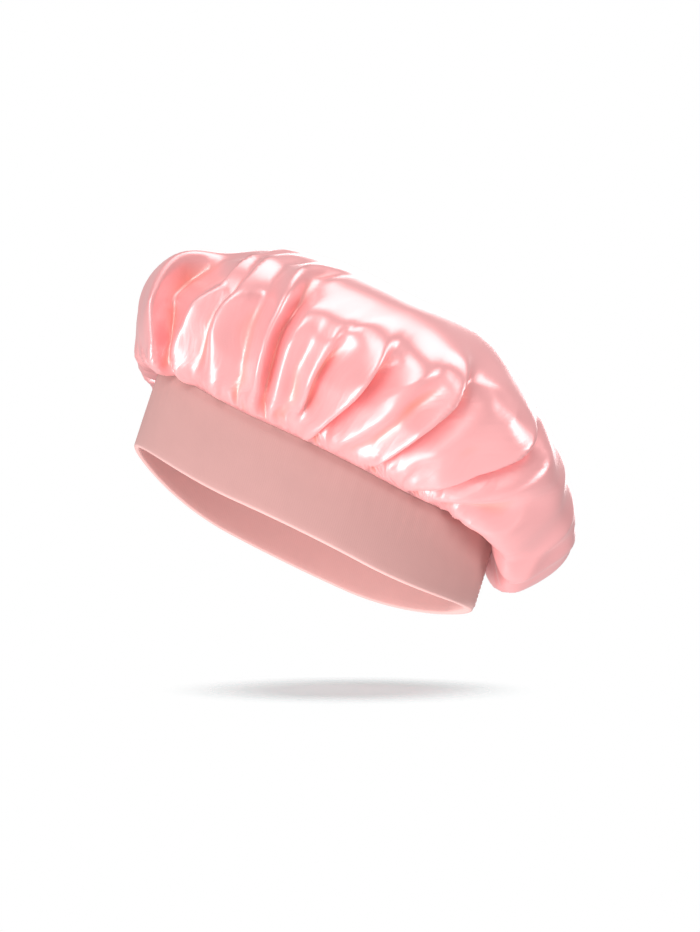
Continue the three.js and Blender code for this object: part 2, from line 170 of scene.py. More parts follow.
# Depth of a fold that has the full painted fold shade, and rounds of smoothing that find the depth
FOLD_DEPTH = 0.004
FOLD_ROUNDS = 80

# Puckers at the seam, lesser gathers, creases and the top's swell: height, and the shares of the
# way up over which each grows and dies out, past the end for the swell
SMALL_FORMS = (
    (0.0032, (0.0, 0.02), (0.03, 0.12)),
    (0.0005, (0.0, 0.1), (0.25, 0.5)),
    (0.0050, (0.04, 0.2), (0.4, 0.7)),
    (0.0035, (0.25, 0.55), (2.0, 3.0)),
)
# How much lower the puckers are at the nape, and the cosines between which that begins
NAPE_CALM = 0.75
NAPE_COSINES = (0.88, 0.96)

# The satin for the cloth solver, how long it settles, and how its hold weakens on the way up
SATIN_CLOTH = {
    "quality": 6,
    "mass": 0.0005,
    "tension_stiffness": 20,
    "compression_stiffness": 20,
    "shear_stiffness": 5,
    "bending_stiffness": 0.05,
    "shrink_min": 0.02,
    "use_pressure": True,
    "uniform_pressure_force": 0.02,
    "vertex_group_mass": "hold",
}
SETTLE_FRAMES = 20
HOLD_LOSS = 0.7
HOLD_FADE = (0.25, 0.6)

# Streaks in the satin: how many round the cut, and how many in a metre of the way to its middle
STREAKS_AROUND = 28.0
STREAKS_ALONG = 22

# Length of the seam line, points it is measured at, and its stitches out from the wall's middle
SEAM_GIRTH = 0.557
SEAM_SAMPLES = 4001
SEAM_STITCH_OUT = -0.00095
# The band's own join begins above the rim and ends below the seam line
JOIN_ABOVE_RIM = 0.005
JOIN_BELOW_SEAM = 0.004
# One overlock loop from the inside to the crown's side: along in pitches, out from the middle of
# the wall, and up from the raw edges
OVERLOCK_LOOP = (
    (-0.5, -0.0013, -0.0027), (-0.3, -0.0013, -0.0004), (-0.1, -0.0008, 0.0004),
    (0.1, 0.0022, 0.0004), (0.3, 0.0029, -0.0004), (0.5, 0.0029, -0.0027),
)
# One stitch on a cloth's inside, with both ends in the cloth: along in pitches, and out
LOCK_STITCH = ((-0.45, 0.0001), (-0.3, -0.0002), (0.0, -0.00025), (0.3, -0.0002), (0.45, 0.0001))
WHITE = (0.86, 0.84, 0.79)

# Where the camera looks, and the lamps around it: across, above and towards the camera, width,
# depth, power, and whether the satin mirrors the lamp
AIM = Vector((0.0083, 0.0, 0.0548))
LAMPS = {
    "overhead": (0.25, 0.80, 0.10, 0.80, 0.60, 4.4, True),
    "key": (-0.45, 0.55, 1.00, 0.60, 0.60, 4.4, True),
    "low_key": (-0.80, -0.40, 0.65, 0.50, 0.50, 4.4, True),
    "right_fill": (0.90, -0.10, 0.60, 0.50, 0.50, 4.2, True),
    "low_fill": (-0.95, -0.25, 0.55, 0.50, 0.40, 4.6, False),
    "under": (-0.10, -0.40, 0.17, 0.20, 0.20, 2.5, False),
    "back": (0.20, 0.30, -1.10, 0.80, 0.60, 5.0, True),
}
SENSOR_WIDTH = 36
# Brightness of the room as a light, and as the camera sees it
ROOM_LIGHT = 0.45
ROOM_SEEN = 1.0
# The floor: its colour, how clear its middle is, and the shares of its radius where it fades
FLOOR_COLOUR = (0.72, 0.93, 0.94, 1)
FLOOR_CLEAR = 0.2
FLOOR_FADE = (0.3, 0.97)


class BandSettings(bpy.types.PropertyGroup):
    """Folded jersey band"""

    length: FloatProperty(
        name="Length", description="Outside, forehead to nape",
        default=0.205, unit="LENGTH")
    width: FloatProperty(
        name="Width", description="Outside, temple to temple",
        default=0.152, unit="LENGTH")
    height: FloatProperty(
        name="Height", description="Rim to seam line",
        default=0.0434, unit="LENGTH")
    lean: FloatProperty(
        name="Lean", description="How far the seam line lies ahead of the rim",
        default=0.0065, unit="LENGTH")
    rim_lift: FloatProperty(
        name="Rim lift", description="Rise of the rim at the forehead and nape",
        default=0.011, unit="LENGTH")
    rim_rest: FloatProperty(
        name="Rim rest", description="Straight stretch of the rim at each temple",
        default=0.072, unit="LENGTH")
    wall: FloatProperty(
        name="Wall", description="Half of the band's thickness with the elastic in it",
        default=0.0016, unit="LENGTH")
    jersey: FloatProperty(
        name="Jersey", description="Thickness of one ply",
        default=0.0008, unit="LENGTH")
    allowance: FloatProperty(
        name="Seam allowance", description="Raw edges above the seam line",
        default=0.007, unit="LENGTH")
    colour: FloatVectorProperty(
        name="Jersey colour", description="Colour of the jersey",
        subtype="COLOR", default=(0.53, 0.289, 0.272))


class CrownSettings(bpy.types.PropertyGroup):
    """Gathered satin crown"""

    cut: FloatProperty(
        name="Cut", description="Diameter of the round cut of satin",
        default=0.46, unit="LENGTH")
    satin: FloatProperty(
        name="Satin", description="Thickness of the satin",
        default=0.0004, unit="LENGTH")
    folds: FloatProperty(
        name="Folds", description="Height of the gathers, as a share of the drawn ones",
        default=1.0, subtype="FACTOR")
    hold: FloatProperty(
        name="Hold", description="How firmly the settling cloth keeps to the drawn folds",
        default=0.8, subtype="FACTOR")
    sectors: IntProperty(
        name="Sectors", description="Points around the seam, a multiple of 32",
        default=896)
    colour: FloatVectorProperty(
        name="Satin colour", description="Colour of the satin's face",
        subtype="COLOR", default=(0.94, 0.42, 0.425))
    # Painted shade: a deeper coral put into the gathers by how deep each point lies in a fold
    fold_shade_colour: FloatVectorProperty(
        name="Fold colour", description="Colour deep in the gathers",
        subtype="COLOR", default=(1.0, 0.31, 0.22))


class ThreadSettings(bpy.types.PropertyGroup):
    """Sewing thread"""

    pitch: FloatProperty(
        name="Pitch", description="Length of one stitch",
        default=0.0025, unit="LENGTH")
    radius: FloatProperty(
        name="Radius", description="Half of the thread's thickness",
        default=0.0002, unit="LENGTH")
    colour: FloatVectorProperty(
        name="Thread colour", description="Colour of the thread",
        subtype="COLOR", default=(0.72, 0.36, 0.35))


class StageSettings(bpy.types.PropertyGroup):
    """Floor, camera and lamps"""

    roll: FloatProperty(
        name="Roll", description="Turn of the picture about the view",
        default=math.radians(26.19), subtype="ANGLE")
    rise: FloatProperty(
        name="Rise", description="How far the camera looks up",
        default=math.radians(9.2), subtype="ANGLE")
    distance: FloatProperty(
        name="Distance", description="Camera to the object",
        default=1.6, unit="LENGTH")
    lens: FloatProperty(
        name="Lens", description="Focal length in millimetres",
        default=112.4)
    floor_drop: FloatProperty(
        name="Floor drop", description="Floor below the middle of the picture",
        default=0.123, unit="LENGTH")
    floor_radius: FloatProperty(
        name="Floor radius", description="Radius at which the floor has faded out",
        default=0.11, unit="LENGTH")


SETTINGS = {
    "bonnet_band": BandSettings,
    "bonnet_crown": CrownSettings,
    "bonnet_thread": ThreadSettings,
    "bonnet_stage": StageSettings,
}


def start_clean():
    """Leaves nothing selected."""
    if bpy.context.mode != "OBJECT":
        bpy.ops.object.mode_set(mode="OBJECT")
    bpy.ops.object.select_all(action="DESELECT")


def make_active(piece):
    start_clean()
    piece.select_set(True)
    bpy.context.view_layer.objects.active = piece


def new_piece(name, points, faces, uvs=None):
    """A smooth mesh object at the origin, with a UV map if one is given per point."""
    mesh = bpy.data.meshes.new(name)
    mesh.from_pydata([tuple(p) for p in points], [], faces)
    mesh.validate()
    piece = bpy.data.objects.new(name, mesh)
    bpy.context.collection.objects.link(piece)
    if uvs is not None:
        layer = mesh.uv_layers.new(name="cut")
        corners = np.zeros(len(mesh.loops), np.int32)
        mesh.loops.foreach_get("vertex_index", corners)
        layer.data.foreach_set("uv", np.asarray(uvs, np.float32)[corners].ravel())
    make_active(piece)
    bpy.ops.object.shade_smooth()
    return piece


def apply_modifier(piece, kind, name, **values):
    make_active(piece)
    modifier = piece.modifiers.new(name, kind)
    for key, value in values.items():
        setattr(modifier, key, value)
    bpy.ops.object.modifier_apply(modifier=modifier.name)


def placed(origin, x, y, z):
    """The matrix of a place with the axes given."""
    place = Matrix((x, y, z)).transposed().to_4x4()
    place.translation = origin
    return place


def smoothstep(value, low, high):
    t = np.clip((value - low) / (high - low), 0, 1)
    return t * t * (3 - 2 * t)


def even_angles(count):
    return np.arange(count) * TURN / count


def circle(angle, radius):
    return np.stack([np.cos(angle), np.sin(angle)], -1) * radius


def run_along(points):
    """Length along a line of points, from its first point to each."""
    steps = np.linalg.norm(np.diff(np.array(points), axis=0), axis=1)
    return np.concatenate([[0], np.cumsum(steps)])


def rim_lift(band, angle):
    half = band.length / 2 - band.wall
    past = np.maximum(0, np.abs(half * np.cos(angle)) - band.rim_rest / 2)
    return band.rim_lift * (past / (half - band.rim_rest / 2)) ** 2


def band_points(band, angle, out, up):
    """Points of the band at angles of its oval: out from the wall's middle, and up from the rim."""
    length = band.length / 2 - band.wall
    width = band.width / 2 - band.wall
    normal = np.stack([width * np.cos(angle), length * np.sin(angle)])
    normal = normal / np.linalg.norm(normal, axis=0)
    x = length * np.cos(angle) + out * normal[0] - band.lean * up / band.height
    y = width * np.sin(angle) + out * normal[1]
    return np.stack([x, y, rim_lift(band, angle) + up], -1)


def ring_faces(rows, columns):
    """Quads over rows of points that each close into a ring."""
    faces = []
    for row in range(rows - 1):
        low, high = row * columns, (row + 1) * columns
        for j in range(columns):
            k = (j + 1) % columns
            faces.append((low + j, low + k, high + k, high + j))
    return faces


def nodes_of(name):
    material = bpy.data.materials.new(name)
    material.use_nodes = True
    tree = material.node_tree
    return material, tree, tree.nodes["Principled BSDF"]


def feed(tree, made, inputs):
    """Sets a node's inputs, or links them where an output of another node is given."""
    for key, value in inputs.items():
        if isinstance(value, bpy.types.NodeSocket):
            tree.links.new(value, made.inputs[key])
        else:
            made.inputs[key].default_value = value


def node(tree, kind, inputs=None, **values):
    made = tree.nodes.new(kind)
    for key, value in values.items():
        setattr(made, key, value)
    feed(tree, made, inputs or {})
    return made


def mixed(tree, share, first, second):
    """The output of a colour mix, whose colours are the sockets 6 and 7 of its node."""
    made = node(tree, "ShaderNodeMix", {0: share, 6: first, 7: second}, data_type="RGBA")
    return made.outputs[2]


def rgba(colour, scale=1.0):
    return (colour[0] * scale, colour[1] * scale, colour[2] * scale, 1.0)


def satin_streaks(tree, place):
    """A normal with faint streaks that run from the seam towards the middle of the cut."""
    out = node(tree, "ShaderNodeVectorMath", {0: place}, operation="NORMALIZE")
    far = node(tree, "ShaderNodeVectorMath", {0: place}, operation="LENGTH")
    around = node(tree, "ShaderNodeVectorMath", {
        0: out.outputs["Vector"], "Scale": STREAKS_AROUND}, operation="SCALE")
    along = node(tree, "ShaderNodeCombineXYZ", {"Z": far.outputs["Value"]})
    polar = node(tree, "ShaderNodeVectorMath", {
        0: along.outputs["Vector"], 1: (0, 0, STREAKS_ALONG), 2: around.outputs["Vector"],
    }, operation="MULTIPLY_ADD")
    streak = node(tree, "ShaderNodeTexNoise", {
        "Vector": polar.outputs["Vector"], "Scale": 1.0, "Detail": 2.0})
    reach = node(tree, "ShaderNodeMapRange", {
        "Value": far.outputs["Value"], "From Min": 0.10, "From Max": 0.19, "To Max": 0.35,
    }, interpolation_type="SMOOTHSTEP")
    pull = node(tree, "ShaderNodeBump", {
        "Height": streak.outputs["Fac"], "Strength": reach.outputs["Result"], "Distance": 0.0012})
    return pull.outputs["Normal"]


def satin_material(crown):
    """Glossy satin: long anisotropic highlights, painted shade deeper in the folds, and a fine
    weave.
    """
    material, tree, shader = nodes_of("satin")
    place = node(tree, "ShaderNodeUVMap", uv_map="cut").outputs["UV"]
    weave = node(tree, "ShaderNodeTexWave", {"Vector": place, "Scale": 900.0, "Distortion": 0.4})
    slub = node(tree, "ShaderNodeTexNoise", {"Vector": place, "Scale": 24.0, "Detail": 4.0})
    # Painted shade: the satin turns a deeper coral where the fold attribute says a point lies deep
    # in a fold
    depth = node(tree, "ShaderNodeAttribute", attribute_name="fold")
    tone_with_fold_shade = mixed(tree, depth.outputs["Fac"], rgba(crown.colour), rgba(crown.fold_shade_colour))
    shade = mixed(tree, slub.outputs["Fac"], rgba(crown.colour, 0.94), rgba(crown.colour, 1.05))
    shade_share = 0.25
    rough = node(tree, "ShaderNodeMapRange", {
        "Value": slub.outputs["Fac"], "To Min": 0.31, "To Max": 0.38})
    bump = node(tree, "ShaderNodeBump", {
        "Height": weave.outputs["Fac"], "Strength": 0.04, "Distance": 0.0002,
        "Normal": satin_streaks(tree, place)})
    tangent = node(tree, "ShaderNodeTangent", direction_type="UV_MAP", uv_map="cut")
    feed(tree, shader, {
        "Base Color": mixed(tree, shade_share, tone_with_fold_shade, shade),
        "Roughness": rough.outputs["Result"],
        "Normal": bump.outputs["Normal"],
        "Tangent": tangent.outputs["Tangent"],
        "Metallic": 0.45,
        "Anisotropic": 0.5,
        "IOR": 2.0,
        "Sheen Weight": 0.1,
    })
    return material


def satin_back_material(crown):
    """The satin's duller back."""
    material, tree, shader = nodes_of("satin_back")
    place = node(tree, "ShaderNodeUVMap", uv_map="cut").outputs["UV"]
    slub = node(tree, "ShaderNodeTexNoise", {"Vector": place, "Scale": 30.0, "Detail": 4.0})
    colour = mixed(tree, slub.outputs["Fac"], rgba(crown.colour, 0.86), rgba(crown.colour, 0.98))
    feed(tree, shader, {"Base Color": colour, "Roughness": 0.6})
    return material


def jersey_material(band, rim):
    """Matte stretch jersey: columns of small loops, an uneven dye, and a painted highlight along
    the fold at the rim.
    """
    material, tree, shader = nodes_of("jersey")
    place = node(tree, "ShaderNodeUVMap", uv_map="cut").outputs["UV"]
    wales = node(tree, "ShaderNodeTexWave", {"Vector": place, "Scale": 300.0, "Distortion": 0.6})
    dye = node(tree, "ShaderNodeTexNoise", {"Vector": place, "Scale": 60.0, "Detail": 5.0})
    dyed = mixed(tree, dye.outputs["Fac"], rgba(band.colour, 0.95), rgba(band.colour, 1.05))
    # Painted highlight: a paler line along the fold at the rim, where the fold catches the light
    rise = node(tree, "ShaderNodeSeparateXYZ", {"Vector": place})
    off = node(tree, "ShaderNodeMath", {0: rise.outputs["Y"], 1: rim}, operation="SUBTRACT")
    away = node(tree, "ShaderNodeMath", {0: off.outputs[0]}, operation="ABSOLUTE")
    rim_highlight_share = node(tree, "ShaderNodeMapRange", {
        "Value": away.outputs[0], "From Min": 0.0012, "From Max": 0.0030,
        "To Min": 0.06, "To Max": 0.0})
    rim_highlight_colour = rgba([0.4 + 0.6 * c for c in band.colour])
    bump = node(tree, "ShaderNodeBump", {
        "Height": wales.outputs["Fac"], "Strength": 0.15, "Distance": 0.0002})
    feed(tree, shader, {
        "Base Color": mixed(tree, rim_highlight_share.outputs[0], dyed, rim_highlight_colour),
        "Normal": bump.outputs["Normal"],
        "Roughness": 0.85,
        "Sheen Weight": 0.1,
    })
    return material


def thread_material(name, colour):
    """Spun sewing thread: a fine twist and uneven fibres."""
    material, tree, shader = nodes_of(name)
    place = node(tree, "ShaderNodeTexCoord").outputs["Object"]
    twist = node(tree, "ShaderNodeTexWave", {"Vector": place, "Scale": 900.0, "Distortion": 1.0})
    fibre = node(tree, "ShaderNodeTexNoise", {"Vector": place, "Scale": 2500.0, "Detail": 3.0})
    dyed = mixed(tree, fibre.outputs["Fac"], rgba(colour, 0.88), rgba(colour, 1.08))
    feed(tree, shader, {
        "Base Color": mixed(tree, twist.outputs["Fac"], dyed, rgba(colour, 0.95)),
        "Roughness": 0.65,
        "Sheen Weight": 0.1,
    })
    return material


def elastic_material(colour):
    """Woven elastic: ribs along its length."""
    material, tree, shader = nodes_of("elastic")
    place = node(tree, "ShaderNodeTexCoord").outputs["Object"]
    ribs = node(tree, "ShaderNodeTexWave", {"Vector": place, "Scale": 250.0}, bands_direction="Z")
    bump = node(tree, "ShaderNodeBump", {
        "Height": ribs.outputs["Fac"], "Strength": 0.3, "Distance": 0.0003})
    feed(tree, shader, {
        "Base Color": mixed(tree, ribs.outputs["Fac"], rgba(colour, 0.85), rgba(colour)),
        "Normal": bump.outputs["Normal"],
        "Roughness": 0.8,
    })
    return material


def seam_angles(band, count):
    """Angles at even steps along the seam line."""
    angle = np.linspace(0, TURN, SEAM_SAMPLES)
    run = run_along(band_points(band, angle, 0.0, band.height))
    return np.interp(np.arange(count) / count * run[-1], run, angle)


def seam_place(band, angle):
    """A place on the rim, with axes along the band, out of its wall and up its wall."""
    at = np.array([angle])
    before, origin, after = (
        band_points(band, at + step, 0.0, 0.0)[0] for step in (-NUDGE, 0.0, NUDGE))
    along = Vector(after - before).normalized()
    out = Vector(band_points(band, at, 1.0, 0.0)[0] - origin)
    up = Vector((-band.lean / band.height, 0, 1))
    return placed(origin, along, out, up)


def thread_stitch(path, radius):
    """One stitch of round thread along a short path, with few faces."""
    start_clean()
    bpy.ops.curve.primitive_nurbs_path_add()
    made = bpy.context.object
    made.data.splines.clear()
    line = made.data.splines.new("POLY")
    line.points.add(len(path) - 1)
    for point, place in zip(line.points, path):
        point.co = (*place, 1)
    made.data.fill_mode = "FULL"
    made.data.bevel_depth = radius
    made.data.bevel_resolution = 0
    made.data.use_fill_caps = True
    bpy.ops.object.convert(target="MESH")
    return bpy.context.object


def sewn(name, stitch, places):
    """Copies of one stitch at the places given, as one piece."""
    shape = np.array([v.co for v in stitch.data.vertices])
    loops = [tuple(f.vertices) for f in stitch.data.polygons]
    points, faces = [], []
    for i, place in enumerate(places):
        turn = np.array(place)
        points.append(shape @ turn[:3, :3].T + turn[:3, 3])
        faces += [tuple(i * len(shape) + k for k in loop) for loop in loops]
    bpy.data.objects.remove(stitch)
    return new_piece(name, np.concatenate(points), faces)


def profile(points, shares):
    """A smooth curve through points, read at shares of its length."""
    p = np.array(points)
    p = np.vstack([p[:1], p, p[-1:]])
    t = np.linspace(0, 1, PROFILE_STEPS, endpoint=False)[:, None]
    fine = []
    for a, b, c, d in zip(p, p[1:], p[2:], p[3:]):
        square = 2 * a - 5 * b + 4 * c - d
        cube = 3 * b - a - 3 * c + d
        fine.append(b + ((c - a) * t + square * t**2 + cube * t**3) / 2)
    fine = np.vstack(fine + [p[-2:-1]])
    length = run_along(fine)
    return [np.interp(shares * length[-1], length, fine[:, k]) for k in (0, 1)]


def smooth_crown(band, angle, share):
    """The crown without its gathers, at angles round the seam and shares of the way up."""
    c, n = np.cos(angle), np.sin(angle)
    to_back = smoothstep(c, -0.4, 0.4)
    front, back, side = (profile(p, share) for p in (CROWN_FRONT, CROWN_BACK, CROWN_SIDE))
    middle = -band.lean + (CROWN_CENTRE + band.lean) * share
    reach = (front[0] + middle) * (1 - to_back) + (back[0] - middle) * to_back
    end_height = front[1] * (1 - to_back) + back[1] * to_back
    end = np.abs(c) ** 3
    lift = (rim_lift(band, angle) - band.rim_lift * end) * (1 - share) ** 6
    height = end_height * end + side[1] * (1 - end) + lift
    return np.stack([middle + reach * c, side[0] * n, height], -1)


def all_folds():
    """The drawn folds, those near the nape and forehead, and an uneven mirror of the drawn ones."""
    lines = list(FOLDS) + list(MIDDLE_FOLDS)
    for height, lean, *rest in FOLDS:
        shift = MIRROR_SHIFT * math.sin(0.11 * rest[0]) * math.sin(math.radians(rest[0]))
        fullness = MIRROR_HEIGHT + MIRROR_SWING * math.sin(0.13 * rest[0] + 1)
        angles = (360 - a - shift for a in rest[:5])
        lines.append((height * fullness, -lean, *angles, *rest[5:]))
    return lines


def fold_offsets(angle, share):
    """How far the gathers stand out from the smooth crown and lean over, on one ring."""
    rows = []
    for height, lean, *rest in all_folds():
        begin, end = rest[5:]
        grown = MILLIMETRE * height * np.interp(share, *FOLD_GROWTH)
        grown = grown * (1 - smoothstep(share, end - FOLD_DIES, end))
        if begin > 0:
            grown = grown * smoothstep(share, begin, begin + FOLD_BEGINS)
        rows.append((np.interp(share, FOLD_SHARES, rest[:5]) % 360, grown, grown * lean))
    rows = np.array(sorted(rows))
    rows = np.vstack([rows[-1] - (360, 0, 0), rows, rows[0] + (360, 0, 0)])
    at = np.degrees(angle) % 360
    i = np.clip(np.searchsorted(rows[:, 0], at, side="right") - 1, 0, len(rows) - 2)
    t = (at - rows[i, 0]) / np.maximum(rows[i + 1, 0] - rows[i, 0], 1e-6)
    t = FOLD_STRAIGHT * t + (1 - FOLD_STRAIGHT) / 2 * (1 - np.cos(np.pi * t))
    offsets = np.stack([rows[i, k] + (rows[i + 1, k] - rows[i, k]) * t for k in (1, 2)])
    reach = len(angle) // FOLD_ROUNDING
    wrapped = np.concatenate([offsets[:, -reach - 1:-1], offsets, offsets[:, 1:reach + 1]], axis=1)
    mean = np.full(2 * reach + 1, 1 / (2 * reach + 1))
    return [np.convolve(line, mean, "valid") for line in wrapped]


def small_gathers(angle, share, ring):
    """Puckers at the seam, lesser gathers, soft creases and the unevenness of the top."""
    at_seam, lesser, across, top = (
        height * float(smoothstep(share, *grows) * (1 - smoothstep(share, *dies)))
        for height, grows, dies in SMALL_FORMS)
    calm = 1 - NAPE_CALM * smoothstep(np.cos(angle), *NAPE_COSINES)
    heights = []
    for x, y, place, nape in zip(np.cos(angle), np.sin(angle), ring, calm):
        pucker = nape * noise.noise((32 * x, 32 * y, 9 * share))
        gather = noise.noise((13 * x + 7, 13 * y, 3.5 * share))
        crease = 0.3 - abs(noise.noise((5 * x, 5 * y + 3, 6 * share)))
        swell = noise.noise(Vector(place) * 24)
        heights.append(at_seam * pucker + lesser * gather + across * crease + top * swell)
    return np.array(heights)


def evenly_spaced(ring, count):
    """Points at even steps along each half of a finely drawn ring that ends where it begins."""
    run = run_along(ring)
    front = run[len(ring) // 2]
    half = np.arange(count // 2) / (count // 2)
    at = np.concatenate([half * front, front + half * (run[-1] - front)])
    return np.stack([np.interp(at, run, ring[:, k]) for k in range(3)], -1)


def gathered_ring(band, crown, share, count):
    """One ring of the crown with its folds drawn in, its points evenly spaced along the cloth."""
    angle = np.linspace(0, TURN, RING_FINENESS * count + 1)
    share = np.full(len(angle), share)
    around = smooth_crown(band, angle + NUDGE, share) - smooth_crown(band, angle - NUDGE, share)
    along = smooth_crown(band, angle, share + NUDGE) - smooth_crown(band, angle, share - NUDGE)
    normal = np.cross(around, along)
    normal /= np.linalg.norm(normal, axis=1)[:, None]
    around /= np.linalg.norm(around, axis=1)[:, None]
    ring = smooth_crown(band, angle, share)
    height, lean = fold_offsets(angle, share[0])
    height = height + small_gathers(angle, share[0], ring)
    ring = ring + crown.folds * (normal * height[:, None] + around * lean[:, None])
    return evenly_spaced(ring, count)


class BONNET_OT_band(bpy.types.Operator):
    """Folds the jersey strip round the elastic"""

    bl_idname = "bonnet.band"
    bl_label = "Folded band"

    def section(self, band):
        """The folded strip's section: out from the middle of the wall, and up from the rim."""
        ply = band.wall - band.jersey / 2
        rise = ply * RIM_ROUND
        fold = [(-ply * math.cos(a), rise - (rise - band.jersey / 2) * math.sin(a))
                for a in np.linspace(0, math.pi, 9)]
        top = band.height + band.allowance
        inner = [(-SEAM_PLY, up) for up in np.linspace(top, band.height, 4)]
        for t in (0.33, 0.66, 1):
            out = -SEAM_PLY - (ply - SEAM_PLY) * smoothstep(t, 0, 1)
            inner.append((out, band.height - PLIES_PART * t))
        inner += [(-ply, up) for up in np.linspace(band.height - PLIES_APART, rise, 12)[:-1]]
        return inner + fold + [(-out, up) for out, up in reversed(inner)]

    def execute(self, context):
        band = context.scene.bonnet_band
        section = self.section(band)
        run = run_along(section)
        angles = even_angles(BAND_COLUMNS)
        from_nape = np.abs(np.arctan2(np.sin(angles), np.cos(angles)))
        away = from_nape * (band.width / 2 - band.wall)
        nape = NAPE_SWELL * (1 - smoothstep(away, *NAPE_FADE))
        points, uvs = [], []
        for (out, up), v in zip(section, run):
            share = up / band.height
            inside_wall = smoothstep(share, 0.0, 0.05) * (1 - smoothstep(share, 0.9, 1.0))
            pucker = BAND_PUCKER * np.sin(BAND_PUCKERS * angles + 2 * np.sin(5 * angles))
            pucker = pucker * smoothstep(share, 0.35, 0.9) * (1 - smoothstep(share, 0.97, 1.05))
            wave = BAND_WAVE * np.sin(4 * angles + 1.0) * math.sin(math.pi * min(1.0, share))
            shift = np.sign(out) * nape * inside_wall + pucker + wave
            points.append(band_points(band, angles, out + shift, up))
            uvs.append(np.stack([angles / TURN * BAND_GIRTH, np.full(BAND_COLUMNS, v)], -1))
        faces = ring_faces(len(section), BAND_COLUMNS)
        piece = new_piece("band", np.concatenate(points), faces, np.concatenate(uvs))
        apply_modifier(piece, "SOLIDIFY", "ply", thickness=band.jersey, offset=0)
        piece.data.materials.append(jersey_material(band, float(run[-1]) / 2))
        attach(piece, "root")
        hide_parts("band_cloth")
        return {"FINISHED"}


class BONNET_OT_crown(bpy.types.Operator):
    """Gathers the round cut of satin on to the band"""

    bl_idname = "bonnet.crown"
    bl_label = "Gathered crown"

    def rows(self, crown):
        """Shares of the way up at which the rings lie, each with its count of points."""
        rows = []
        for low, high, count, part in CROWN_RINGS:
            rows += [(s, crown.sectors // part) for s in np.linspace(low, high, count + 1)[1:]]
        return rows

    def ring_joins(self, rings):
        """Faces between rings, which keep their count of points inward or halve it."""
        faces = []
        for (start, count), (following, less) in zip(rings, rings[1:]):
            step = count // less
            for i in range(less):
                a, b = start + i * step, start + (i * step + step) % count
                c, d = following + (i + 1) % less, following + i
                faces.append((a, b, c, d) if step == 1 else (a, a + 1, d))
                if step == 2:
                    faces += [(a + 1, c, d), (a + 1, b, c)]
        start, count = rings[-1]
        top = start + count
        faces += [(start + i, start + (i + 1) % count, top) for i in range(count)]
        return faces

    def drawn(self, band, crown):
        """The crown's points, their places on the flat cut, their hold, and the rings they form."""
        full = crown.sectors
        radius = crown.cut / 2 - band.allowance
        fine = np.linspace(0, TURN, FLANGE_FINENESS * full + 1)
        gather = FLANGE_OUT + FLANGE_PLEAT * np.sin(FLANGE_PLEATS * fine + 1.5 * np.sin(7 * fine))
        draped = [evenly_spaced(band_points(band, fine, gather, band.height + up), full)
                  for up in (band.allowance, SEWN_ABOVE)]
        flat = [circle(even_angles(full), r) for r in (radius + band.allowance, radius)]
        hold = [np.ones(full), np.ones(full)]
        rings = [(0, full), (full, full)]
        begin = 2 * full
        for share, count in self.rows(crown):
            draped.append(gathered_ring(band, crown, share, count))
            flat.append(circle(even_angles(count), radius) * (1 - share))
            hold.append(np.full(
                count, crown.hold * (1 - HOLD_LOSS * smoothstep(share, *HOLD_FADE))))
            rings.append((begin, count))
            begin += count
        draped.append(smooth_crown(band, np.zeros(1), np.ones(1)))
        flat.append(np.zeros((1, 2)))
        hold.append(hold[-1][:1])
        return *(np.concatenate(part) for part in (draped, flat, hold)), rings

    def execute(self, context):
        crown = context.scene.bonnet_crown
        draped, flat, hold, rings = self.drawn(context.scene.bonnet_band, crown)
        piece = new_piece("crown", draped, self.ring_joins(rings), flat)
        self.drape(context, piece, hold)
        self.mark_folds(piece)
        piece.data.materials.append(satin_material(crown))
        piece.data.materials.append(satin_back_material(crown))
        apply_modifier(
            piece, "SOLIDIFY", "cloth", thickness=crown.satin, offset=0, material_offset=1)
        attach(piece, "root")
        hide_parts("satin_crown")
        return {"FINISHED"}

    def drape(self, context, piece, hold):
        """Lets the gathered satin settle near the drawn folds, held in the seam."""
        group = piece.vertex_groups.new(name="hold")
        for weight in np.unique(hold):
            group.add(np.nonzero(hold == weight)[0].tolist(), float(weight), "REPLACE")
        context.scene.frame_set(1)
        modifier = piece.modifiers.new("cloth", "CLOTH")
        modifier.collision_settings.use_collision = False
        modifier.point_cache.frame_end = SETTLE_FRAMES
        cloth = modifier.settings
        for key, value in SATIN_CLOTH.items():
            setattr(cloth, key, value)
        cloth.effector_weights.gravity = 0
        for moment in range(1, SETTLE_FRAMES + 1):
            context.scene.frame_set(moment)
        make_active(piece)
        bpy.ops.object.modifier_apply(modifier=modifier.name)
        piece.vertex_groups.clear()
        context.scene.frame_set(1)

    def mark_folds(self, piece):
        """Keeps on each point how deep it lies in a fold, from 0 to 1, which sets the painted shade
        in the folds.
        """
        mesh = piece.data
        points = np.zeros(3 * len(mesh.vertices), np.float32)
        mesh.vertices.foreach_get("co", points)
        normals = np.zeros_like(points)
        mesh.vertex_normals.foreach_get("vector", normals)
        ends = np.zeros(2 * len(mesh.edges), np.int32)
        mesh.edges.foreach_get("vertices", ends)
        points, normals = points.reshape(-1, 3), normals.reshape(-1, 3)
        first, second = ends.reshape(-1, 2).T
        neighbours = np.bincount(ends, minlength=len(points))[:, None]
        smooth = points.astype(float)
        for _ in range(FOLD_ROUNDS):
            total = np.zeros_like(smooth)
            for k in range(3):
                total[:, k] = np.bincount(first, smooth[second, k], len(points))
                total[:, k] += np.bincount(second, smooth[first, k], len(points))
            smooth = (smooth + total / neighbours) / 2
        depth = ((smooth - points) * normals).sum(1)
        kept = mesh.attributes.new("fold", "FLOAT", "POINT")
        kept.data.foreach_set("value", np.clip(depth / FOLD_DEPTH, 0, 1).astype(np.float32))


